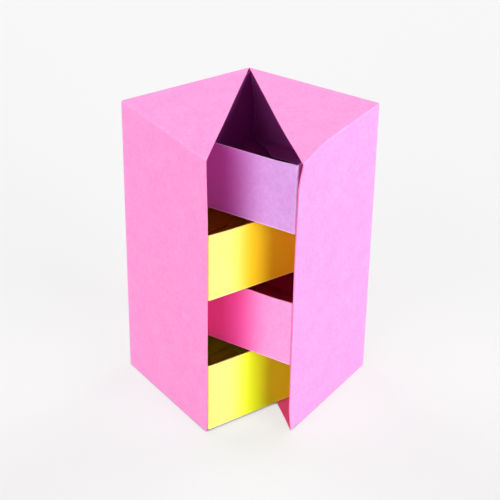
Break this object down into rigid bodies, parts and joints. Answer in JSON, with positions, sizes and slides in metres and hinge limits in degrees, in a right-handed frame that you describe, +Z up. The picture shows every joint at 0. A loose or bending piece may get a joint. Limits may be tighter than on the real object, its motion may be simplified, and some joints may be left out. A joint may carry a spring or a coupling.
{
  "type": "hinged card tray box",
  "caption": "Square card column split along its diagonal into hinged halves, with stacked square trays fixed in turn to either half, for keeping small items.",
  "frame": {"origin": "on the standing surface, under the middle of the half-open box", "axes": "+Z up along the hinge axis, -Y out of the opening between the halves, +X towards the right half"},
  "size_m": [0.1152, 0.0978, 0.143],
  "materials": {
    "pink_card": "matte",
    "lilac_card": "matte",
    "yellow_card": "matte",
    "rose_card": "matte",
    "lemon_card": "matte"
  },
  "bodies": {
    "left_half": {"left_cover": "pink_card", "hinge_strip_left": "pink_card", "second_tray_band": "yellow_card", "second_tray_floor": "yellow_card", "bottom_tray_band": "lemon_card", "bottom_tray_floor": "lemon_card"},
    "right_half": {"right_cover": "pink_card", "hinge_strip_right": "pink_card", "top_tray_band": "lilac_card", "top_tray_floor": "lilac_card", "third_tray_band": "rose_card", "third_tray_floor": "rose_card"}
  },
  "joints": [
    {"name": "back_hinge", "type": "hinge", "parent": "left_half", "child": "right_half", "pos_m": [0, 0.04807, 0], "axis": [0, 0, 1], "range_deg": [-22, 203]}
  ]
}
